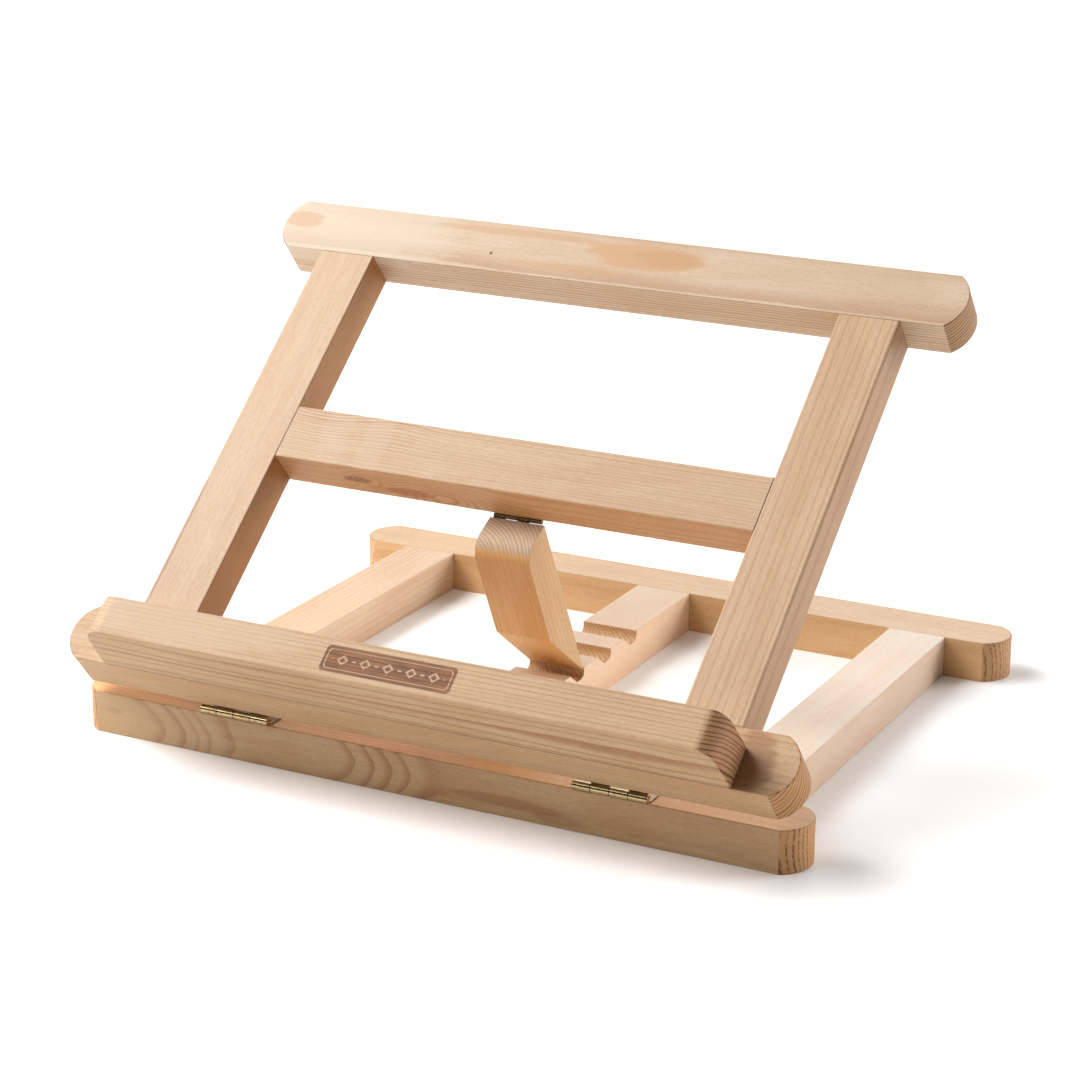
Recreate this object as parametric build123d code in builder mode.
"""Table-top wooden easel: flat base frame, tilting upper frame with a ledge, and a folding prop.

Millimetres. +Z is up, +X runs along the rails, +Y runs from the front to the back.
The origin is the centre of the base frame's footprint, on the surface it stands on.
"""
import os
from math import cos, radians, sin

from build123d import *

os.makedirs("parts", exist_ok=True)

# ---------------------------------------------------------------- timber stock
STOCK_T = 20.0             # thickness of every bar
STOCK_W = 29.0             # width of every bar
RAIL_CORNER_X = 171.0      # corners where a rail's rounded ends start
END_RISE = 9.0             # how far a rounded rail end bulges beyond its corners
TOP_END_RISE = 7.2         # the top rail's ends are a little flatter
EASE = 0.6                 # sanded edges

# ---------------------------------------------------------------- base frame
BASE_DEPTH = 285.0         # front face of the front rail to back face of the rear rail
FRONT_Y = -BASE_DEPTH / 2
REAR_LOW_Y = -FRONT_Y - STOCK_W
BASE_STILE_X = 137.0       # middle of each side bar
BASE_STILE_L = BASE_DEPTH - 2 * STOCK_W

# ---------------------------------------------------------------- rack notches
NOTCH_COUNT = 4
NOTCH_PITCH = 29.0
FIRST_WALL_Y = FRONT_Y + 105.7     # upright wall of the frontmost notch
NOTCH_OPEN = 14.6                  # opening at the top of the rack
NOTCH_DEPTH = 5.2
NOTCH_FLOOR = 7.5                  # level floor before the sloped front side starts
NOTCH_ROUND = 3.4

# ---------------------------------------------------------------- upper frame
TILT = 39.7                # angle of the frame above the table
FRAME_H = 273.0            # lower edge of the bottom rail to upper edge of the top rail
MID_RAIL_U = 123.4         # lower edge of the middle rail above the frame's lower edge
FRAME_STILE_X = 136.0      # middle of each side bar
FRAME_INNER_X = FRAME_STILE_X - STOCK_W / 2
FRAME_STILE_L = FRAME_H - 2 * STOCK_W
LEDGE_L = 310.0
LEDGE_DEEP = 29.0
LEDGE_H = 20.0
LEDGE_TUCK = 2.7           # how far each end leans in towards the front
LEDGE_BOW = 0.7            # outward bow of each end
LEDGE_ROUND = 8.6          # front corners

# ---------------------------------------------------------------- front hinges
HINGE_L = 35.5
HINGE_X = 94.0             # centre of each hinge from the middle of the rail
HINGE_R = 2.0              # knuckle radius
HINGE_OFF = 2.6            # pin axis above the timber surface under a leaf
HINGE_OUT = 1.3            # pin axis beyond the edge of the timber
HINGE_LEAF_W = 12.0
HINGE_LEAF_T = 0.8
HINGE_PIN_R = 0.9
HINGE_SCREW_X = 12.0       # screws from the centre of the leaf
HINGE_SCREW_Y = 7.4        # screws from the pin axis

# ---------------------------------------------------------------- prop and its hinge
PROP_W = 28.0
PROP_L = 92.9              # top end to tip, along the rear face
PROP_TAPER = 38.0          # length of the sloped cut that makes the tip
PROP_TIP_T = 0.5           # blunt thickness left at the tip
PROP_ROUND = 9.0           # rounded front corner of the top end
PROP_LEAN = 26.6           # angle from upright, foot to the back
PROP_HINGE_L = 24.5
PROP_HINGE_R = 1.1
PROP_HINGE_OFF = 1.4
PROP_GAP = 0.35            # folded prop below the middle rail
PROP_LEAF_W = 9.5
PROP_LEAF_T = 0.7
PROP_PIN_R = 0.5
PROP_SCREW_X = 8.0
PROP_SCREW_Y = 6.0

# ---------------------------------------------------------------- shared fits
KNUCKLES = 4
KNUCKLE_GAP = 0.3          # between neighbouring knuckles
PIN_PLAY = 0.05            # radial play of a pin in its knuckles
SWEEP_GAP = 0.35           # between a turning knuckle and the other leaf
DOWEL_R = 4.0
DOWEL_L = 30.0
DOWEL_STEP = 14.0          # between the two dowels of a joint
GLUE_GAP = 0.05
SCREW_PLAY = 0.05
FRONT_SCREW = (2.0, 1.2, 12.0)     # head radius, shank radius, length
SMALL_SCREW = (1.6, 0.9, 9.0)

# ---------------------------------------------------------------- axes of the assembly
TILT_COS = cos(radians(TILT))
TILT_SIN = sin(radians(TILT))
FRAME_PIN = Vector(0, FRONT_Y - HINGE_OUT, STOCK_T + HINGE_OFF)
UP_FRAME = Vector(0, TILT_COS, TILT_SIN)          # up the slope of the upper frame
OUT_FRAME = Vector(0, -TILT_SIN, TILT_COS)        # out of its front face
FRAME_ORIGIN = FRAME_PIN + UP_FRAME * HINGE_OUT + OUT_FRAME * HINGE_OFF

LEAN_COS = cos(radians(PROP_LEAN))
LEAN_SIN = sin(radians(PROP_LEAN))
DOWN_PROP = Vector(0, LEAN_SIN, -LEAN_COS)        # down the prop towards its tip
BACK_PROP = Vector(0, LEAN_COS, LEAN_SIN)         # out of its rear face
PROP_PIN = (
    FRAME_ORIGIN
    + UP_FRAME * MID_RAIL_U
    - OUT_FRAME * PROP_HINGE_OFF
)
PROP_ORIGIN = (
    PROP_PIN
    + DOWN_PROP * PROP_GAP
    - BACK_PROP * PROP_HINGE_OFF
)

BASE_PLANE = Plane.XY
FRAME_PLANE = Plane(origin=FRAME_ORIGIN, x_dir=(1, 0, 0), z_dir=OUT_FRAME)
MIN_Z = (Align.CENTER, Align.CENTER, Align.MIN)
MAX_Z = (Align.CENTER, Align.CENTER, Align.MAX)


def save(part, label):
    """Name one sub-part and write its STEP file."""
    part.label = label
    export_step(part, f"parts/{label}.step")


# ---------------------------------------------------------------- timber pieces
def ease_rail(rail, plane, outer_v):
    """Sand the long outer edges and the curved ends of a rail."""
    outer = [
        edge
        for edge in rail.edges()
        if edge.geom_type == GeomType.CIRCLE
        or abs(plane.to_local_coords(edge.center()).Y - outer_v) < 0.01
    ]
    long_edges = [edge for edge in outer if edge.length > STOCK_T + 1]
    fillet(long_edges, radius=EASE)


def make_rail(plane, low_v, outer_v, dowel_spots, dowel_side, rise=END_RISE):
    """Bar with rounded ends, drilled along its inner side for dowels."""
    half = RAIL_CORNER_X
    tip = RAIL_CORNER_X + rise
    high_v = low_v + STOCK_W
    mid_v = low_v + STOCK_W / 2
    with BuildPart() as rail:
        with BuildSketch(plane) as outline:
            with BuildLine():
                Line((-half, low_v), (half, low_v))
                ThreePointArc((half, low_v), (tip, mid_v), (half, high_v))
                Line((half, high_v), (-half, high_v))
                ThreePointArc((-half, high_v), (-tip, mid_v), (-half, low_v))
            make_face()
        extrude(amount=STOCK_T)
        ease_rail(rail, plane, outer_v)
        inner_v = high_v if outer_v == low_v else low_v
        with Locations(*[dowel_plane(plane, x, inner_v, dowel_side) for x in dowel_spots]):
            Cylinder(DOWEL_R + GLUE_GAP, DOWEL_L + 1, mode=Mode.SUBTRACT)
    return rail.part


def dowel_plane(plane, x, v, direction):
    """Centre plane of a dowel that crosses a joint face along the given direction."""
    centre = plane.from_local_coords(Vector(x, v, STOCK_T / 2))
    return Plane(origin=centre, z_dir=direction)


def pair(centre):
    """The two dowel positions of one joint."""
    return [centre - DOWEL_STEP / 2, centre + DOWEL_STEP / 2]


def make_stile(plane, x_mid, low_v, length, dowel_side):
    """Straight bar between two rails, drilled in both ends."""
    with BuildPart() as stile:
        with BuildSketch(plane) as outline:
            with Locations((x_mid, low_v + length / 2)):
                Rectangle(STOCK_W, length)
        extrude(amount=STOCK_T)
        fillet([e for e in stile.edges() if e.length > length - 1], radius=EASE)
        ends = [
            dowel_plane(plane, x, v, dowel_side)
            for x in pair(x_mid)
            for v in (low_v, low_v + length)
        ]
        with Locations(*ends):
            Cylinder(DOWEL_R + GLUE_GAP, DOWEL_L + 1, mode=Mode.SUBTRACT)
    return stile.part


BASE_JOINT_XS = pair(-BASE_STILE_X) + pair(0.0) + pair(BASE_STILE_X)
FRAME_JOINT_XS = pair(-FRAME_STILE_X) + pair(FRAME_STILE_X)


def hinge_screw_spots(side_x, reach):
    """Screw positions of one front leaf: along the rail and away from the pin."""
    return [(side_x - HINGE_SCREW_X, reach), (side_x + HINGE_SCREW_X, reach)]


def base_screw_planes():
    """Screw seats on the base leaves, heads up."""
    spots = hinge_screw_spots(-HINGE_X, HINGE_SCREW_Y) + hinge_screw_spots(HINGE_X, HINGE_SCREW_Y)
    seat_z = STOCK_T + HINGE_LEAF_T
    return [Plane(origin=(x, FRAME_PIN.Y + reach, seat_z)) for x, reach in spots]


def frame_screw_planes():
    """Screw seats on the leaves behind the bottom rail, heads to the back."""
    spots = hinge_screw_spots(-HINGE_X, HINGE_SCREW_Y) + hinge_screw_spots(HINGE_X, HINGE_SCREW_Y)
    lift = HINGE_OFF - HINGE_LEAF_T
    return [
        Plane(
            origin=FRAME_PIN + Vector(x, 0, 0) + UP_FRAME * reach + OUT_FRAME * lift,
            x_dir=(1, 0, 0),
            z_dir=-OUT_FRAME,
        )
        for x, reach in spots
    ]


def prop_rail_screw_planes():
    """Screw seats on the leaf behind the middle rail."""
    lift = PROP_HINGE_OFF - PROP_LEAF_T
    return [
        Plane(
            origin=PROP_PIN + Vector(x, 0, 0) + UP_FRAME * PROP_SCREW_Y + OUT_FRAME * lift,
            x_dir=(1, 0, 0),
            z_dir=-OUT_FRAME,
        )
        for x in (-PROP_SCREW_X, PROP_SCREW_X)
    ]


def prop_strut_screw_planes():
    """Screw seats on the leaf behind the prop."""
    lift = PROP_HINGE_OFF - PROP_LEAF_T
    return [
        Plane(
            origin=PROP_PIN + Vector(x, 0, 0) + DOWN_PROP * PROP_SCREW_Y - BACK_PROP * lift,
            x_dir=(1, 0, 0),
            z_dir=BACK_PROP,
        )
        for x in (-PROP_SCREW_X, PROP_SCREW_X)
    ]


def drill_pilots(planes, screw):
    """Screw holes in timber, used inside a part block."""
    shank_r, length = screw[1:]
    with Locations(*planes):
        Cylinder(shank_r + SCREW_PLAY, length + 0.5, align=MAX_Z, mode=Mode.SUBTRACT)


def make_base_rails():
    """Front and rear rails of the base."""
    front = make_rail(BASE_PLANE, FRONT_Y, FRONT_Y, BASE_JOINT_XS, (0, 1, 0))
    with BuildPart() as base_front_rail:
        add(front)
        drill_pilots(base_screw_planes(), FRONT_SCREW)
    save(base_front_rail.part, "base_front_rail")
    rear = make_rail(BASE_PLANE, REAR_LOW_Y, -FRONT_Y, BASE_JOINT_XS, (0, 1, 0))
    save(rear, "base_rear_rail")


def make_base_stiles():
    """Side bars of the base."""
    for label, side in (("base_left_stile", -1), ("base_right_stile", 1)):
        stile = make_stile(
            BASE_PLANE, side * BASE_STILE_X, FRONT_Y + STOCK_W, BASE_STILE_L, (0, 1, 0)
        )
        save(stile, label)


def make_rack_rail():
    """Centre bar with a row of notches for the tip of the prop."""
    top = STOCK_T
    with BuildPart() as rack_rail:
        with BuildSketch(Plane.YZ) as side_view:
            with Locations((0, top / 2)):
                Rectangle(BASE_STILE_L, top)
            for index in range(NOTCH_COUNT):
                wall = FIRST_WALL_Y + index * NOTCH_PITCH
                with BuildLine():
                    Polyline(
                        (wall, top + 1),
                        (wall, top - NOTCH_DEPTH),
                        (wall - NOTCH_FLOOR, top - NOTCH_DEPTH),
                        (wall - NOTCH_OPEN, top),
                        (wall - NOTCH_OPEN, top + 1),
                        close=True,
                    )
                make_face(mode=Mode.SUBTRACT)
            floor_z = top - NOTCH_DEPTH
            corners = [v for v in side_view.vertices() if abs(v.Y - floor_z) < 0.01]
            fillet(corners, radius=NOTCH_ROUND)
        extrude(amount=STOCK_W / 2, both=True)
        ends = [dowel_plane(BASE_PLANE, x, y, (0, 1, 0))
                for x in pair(0.0)
                for y in (FRONT_Y + STOCK_W, REAR_LOW_Y)]
        with Locations(*ends):
            Cylinder(DOWEL_R + GLUE_GAP, DOWEL_L + 1, mode=Mode.SUBTRACT)
    save(rack_rail.part, "rack_rail")


def make_frame_rails():
    """Bottom, top and middle rails of the upper frame."""
    bottom = make_rail(FRAME_PLANE, 0.0, 0.0, FRAME_JOINT_XS, UP_FRAME)
    with BuildPart() as frame_bottom_rail:
        add(bottom)
        drill_pilots(frame_screw_planes(), FRONT_SCREW)
    save(frame_bottom_rail.part, "frame_bottom_rail")
    top = make_rail(
        FRAME_PLANE, FRAME_H - STOCK_W, FRAME_H, FRAME_JOINT_XS, UP_FRAME, TOP_END_RISE
    )
    save(top, "frame_top_rail")
    with BuildPart() as frame_middle_rail:
        with BuildSketch(FRAME_PLANE):
            with Locations((0, MID_RAIL_U + STOCK_W / 2)):
                Rectangle(2 * FRAME_INNER_X, STOCK_W)
        extrude(amount=STOCK_T)
        long_edges = [e for e in frame_middle_rail.edges() if e.length > 2 * FRAME_INNER_X - 1]
        fillet(long_edges, radius=EASE)
        with Locations(*middle_dowel_planes()):
            Cylinder(DOWEL_R + GLUE_GAP, DOWEL_L + 1, mode=Mode.SUBTRACT)
        drill_pilots(prop_rail_screw_planes(), SMALL_SCREW)
    save(frame_middle_rail.part, "frame_middle_rail")


def middle_dowel_planes():
    """Dowels between the middle rail and the two stiles."""
    return [
        Plane(origin=FRAME_PLANE.from_local_coords(Vector(x, u, STOCK_T / 2)), z_dir=(1, 0, 0))
        for x in (-FRAME_INNER_X, FRAME_INNER_X)
        for u in pair(MID_RAIL_U + STOCK_W / 2)
    ]


def make_frame_stiles():
    """Side bars of the upper frame, also drilled for the middle rail."""
    for label, side in (("frame_left_stile", -1), ("frame_right_stile", 1)):
        plain = make_stile(FRAME_PLANE, side * FRAME_STILE_X, STOCK_W, FRAME_STILE_L, UP_FRAME)
        near = [p for p in middle_dowel_planes() if p.origin.X * side > 0]
        with BuildPart() as stile:
            add(plain)
            with Locations(*near):
                Cylinder(DOWEL_R + GLUE_GAP, DOWEL_L + 1, mode=Mode.SUBTRACT)
        save(stile.part, label)


def make_ledge():
    """Shelf strip along the bottom rail, its two front corners rounded."""
    ledge_plane = Plane(
        origin=FRAME_ORIGIN + OUT_FRAME * STOCK_T, x_dir=(1, 0, 0), z_dir=-UP_FRAME
    )
    with BuildPart() as ledge:
        with BuildSketch(ledge_plane) as outline:
            with BuildLine():
                back, front = LEDGE_L / 2, LEDGE_L / 2 - LEDGE_TUCK
                bowed = (back + front) / 2 + LEDGE_BOW
                Line((-back, 0), (back, 0))
                ThreePointArc((back, 0), (bowed, LEDGE_DEEP / 2), (front, LEDGE_DEEP))
                Line((front, LEDGE_DEEP), (-front, LEDGE_DEEP))
                ThreePointArc((-front, LEDGE_DEEP), (-bowed, LEDGE_DEEP / 2), (-back, 0))
            make_face()
            fillet(outline.vertices().group_by(Axis.Y)[-1], radius=LEDGE_ROUND)
        extrude(amount=-LEDGE_H)
        front_edges = ledge.edges().filter_by(Axis.X).group_by(Axis(ledge_plane.origin, OUT_FRAME))[-1]
        fillet(front_edges, radius=EASE)
    save(ledge.part, "ledge")


def make_dowels():
    """Glued dowels that hold the butt joints of both frames."""
    base_spots = [
        dowel_plane(BASE_PLANE, x, y, (0, 1, 0))
        for x in BASE_JOINT_XS
        for y in (FRONT_Y + STOCK_W, REAR_LOW_Y)
    ]
    with BuildPart() as base_dowels:
        with Locations(*base_spots):
            Cylinder(DOWEL_R, DOWEL_L)
    save(base_dowels.part, "base_dowels")
    frame_spots = [
        dowel_plane(FRAME_PLANE, x, u, UP_FRAME)
        for x in FRAME_JOINT_XS
        for u in (STOCK_W, FRAME_H - STOCK_W)
    ]
    with BuildPart() as frame_dowels:
        with Locations(*(frame_spots + middle_dowel_planes())):
            Cylinder(DOWEL_R, DOWEL_L)
    save(frame_dowels.part, "frame_dowels")


# ---------------------------------------------------------------- prop
def make_prop_strut():
    """Bar with a rounded top corner and a long sloped cut that leaves a tip at the rear face."""
    prop_plane = Plane(origin=PROP_ORIGIN, x_dir=DOWN_PROP, z_dir=(1, 0, 0))
    with BuildPart() as prop_strut:
        with BuildSketch(prop_plane) as side_view:
            with BuildLine():
                Polyline(
                    (0, 0),
                    (PROP_L, 0),
                    (PROP_L, -PROP_TIP_T),
                    (PROP_L - PROP_TAPER, -STOCK_T),
                    (0, -STOCK_T),
                    close=True,
                )
            make_face()
            front_top = side_view.vertices().sort_by_distance((0, -STOCK_T, 0))[0]
            fillet(front_top, radius=PROP_ROUND)
        extrude(amount=PROP_W / 2, both=True)
        drill_pilots(prop_strut_screw_planes(), SMALL_SCREW)
    save(prop_strut.part, "prop_strut")


# ---------------------------------------------------------------- hinges
def knuckle_spans(length):
    """Start and end of every second knuckle along a hinge, counted from the leaf's low-X end."""
    step = length / KNUCKLES
    spans = []
    for index in range(0, KNUCKLES, 2):
        start = -length / 2 + index * step
        low = start + (KNUCKLE_GAP / 2 if index > 0 else 0)
        high = start + step - (KNUCKLE_GAP / 2 if index < KNUCKLES - 1 else 0)
        spans.append((low, high))
    return spans


def make_leaf(plane, length, sizes, screw, screw_planes):
    """One hinge leaf: a screwed plate with every second knuckle along its edge.

    The plane's origin is the middle of the pin; X runs along the pin, Y across the
    plate and away from the pin, and Z away from the timber.
    """
    width, thick, radius, offset, pin_r = sizes
    head_r, shank_r = screw[:2]
    clear_y = radius + SWEEP_GAP
    bore_r = pin_r + PIN_PLAY
    along = Plane(origin=plane.origin, x_dir=plane.y_dir, z_dir=plane.x_dir)
    with BuildPart() as leaf:
        with BuildSketch(plane.offset(-offset)):
            with Locations((0, (width + clear_y) / 2)):
                Rectangle(length, width - clear_y)
            for low, high in knuckle_spans(length):
                with Locations(((low + high) / 2, (clear_y + 0.5) / 2)):
                    Rectangle(high - low, clear_y + 0.5)
        extrude(amount=thick)
        for low, high in knuckle_spans(length):
            with Locations(along.offset(low)):
                Cylinder(radius, high - low, align=MIN_Z)
        with Locations(along):
            Cylinder(bore_r, length + 2, mode=Mode.SUBTRACT)
        with Locations(*screw_planes):
            CounterSinkHole(shank_r + SCREW_PLAY, head_r + SCREW_PLAY, counter_sink_angle=90)
    return leaf.part


def make_pin(centre, length, radius):
    """Straight hinge pin along X."""
    with BuildPart() as pin:
        with Locations(Plane(origin=centre, z_dir=(1, 0, 0))):
            Cylinder(radius, length)
        chamfer(pin.edges().filter_by(GeomType.CIRCLE), radius * 0.3)
    return pin.part


def make_screws(planes, screw):
    """Countersunk screws with a cross recess, heads along each plane's normal."""
    head_r, shank_r, length = screw
    head_h = head_r - shank_r
    recess = head_r * 1.1
    with BuildPart() as screws:
        with Locations(*planes):
            Cylinder(shank_r, length * 0.8, align=MAX_Z)
        with Locations(*[p.offset(-length * 0.8) for p in planes]):
            Cone(shank_r * 0.15, shank_r, length * 0.2, align=MAX_Z)
        with Locations(*planes):
            Cone(shank_r, head_r, head_h, align=MAX_Z)
            Box(recess, recess / 4, head_h * 1.2, mode=Mode.SUBTRACT)
            Box(recess / 4, recess, head_h * 1.2, mode=Mode.SUBTRACT)
    return screws.part


def make_front_hinges():
    """Two hinges between the base and the upper frame, with their pins and screws."""
    sizes = (HINGE_LEAF_W, HINGE_LEAF_T, HINGE_R, HINGE_OFF, HINGE_PIN_R)
    for side_name, side in (("left", -1), ("right", 1)):
        centre = FRAME_PIN + Vector(side * HINGE_X, 0, 0)
        base_side = Plane(origin=centre, x_dir=(1, 0, 0), z_dir=(0, 0, 1))
        frame_side = Plane(origin=centre, x_dir=(-1, 0, 0), z_dir=-OUT_FRAME)
        base_screws = [p for p in base_screw_planes() if p.origin.X * side > 0]
        frame_screws = [p for p in frame_screw_planes() if p.origin.X * side > 0]
        base_leaf = make_leaf(base_side, HINGE_L, sizes, FRONT_SCREW, base_screws)
        save(base_leaf, f"{side_name}_hinge_base_leaf")
        frame_leaf = make_leaf(frame_side, HINGE_L, sizes, FRONT_SCREW, frame_screws)
        save(frame_leaf, f"{side_name}_hinge_frame_leaf")
        save(make_pin(centre, HINGE_L, HINGE_PIN_R), f"{side_name}_hinge_pin")
    save(make_screws(base_screw_planes(), FRONT_SCREW), "base_hinge_screws")
    save(make_screws(frame_screw_planes(), FRONT_SCREW), "frame_hinge_screws")


def make_prop_hinge():
    """Small hinge between the middle rail and the prop, with its pin and screws."""
    sizes = (PROP_LEAF_W, PROP_LEAF_T, PROP_HINGE_R, PROP_HINGE_OFF, PROP_PIN_R)
    rail_side = Plane(origin=PROP_PIN, x_dir=(-1, 0, 0), z_dir=-OUT_FRAME)
    strut_side = Plane(origin=PROP_PIN, x_dir=(1, 0, 0), z_dir=BACK_PROP)
    rail_leaf = make_leaf(
        rail_side, PROP_HINGE_L, sizes, SMALL_SCREW, prop_rail_screw_planes()
    )
    save(rail_leaf, "prop_hinge_rail_leaf")
    strut_leaf = make_leaf(
        strut_side, PROP_HINGE_L, sizes, SMALL_SCREW, prop_strut_screw_planes()
    )
    save(strut_leaf, "prop_hinge_strut_leaf")
    save(make_pin(PROP_PIN, PROP_HINGE_L, PROP_PIN_R), "prop_hinge_pin")
    save(make_screws(prop_rail_screw_planes(), SMALL_SCREW), "prop_hinge_rail_screws")
    save(make_screws(prop_strut_screw_planes(), SMALL_SCREW), "prop_hinge_strut_screws")


make_base_rails()
make_base_stiles()
make_rack_rail()
make_frame_rails()
make_frame_stiles()
make_ledge()
make_dowels()
make_prop_strut()
make_front_hinges()
make_prop_hinge()
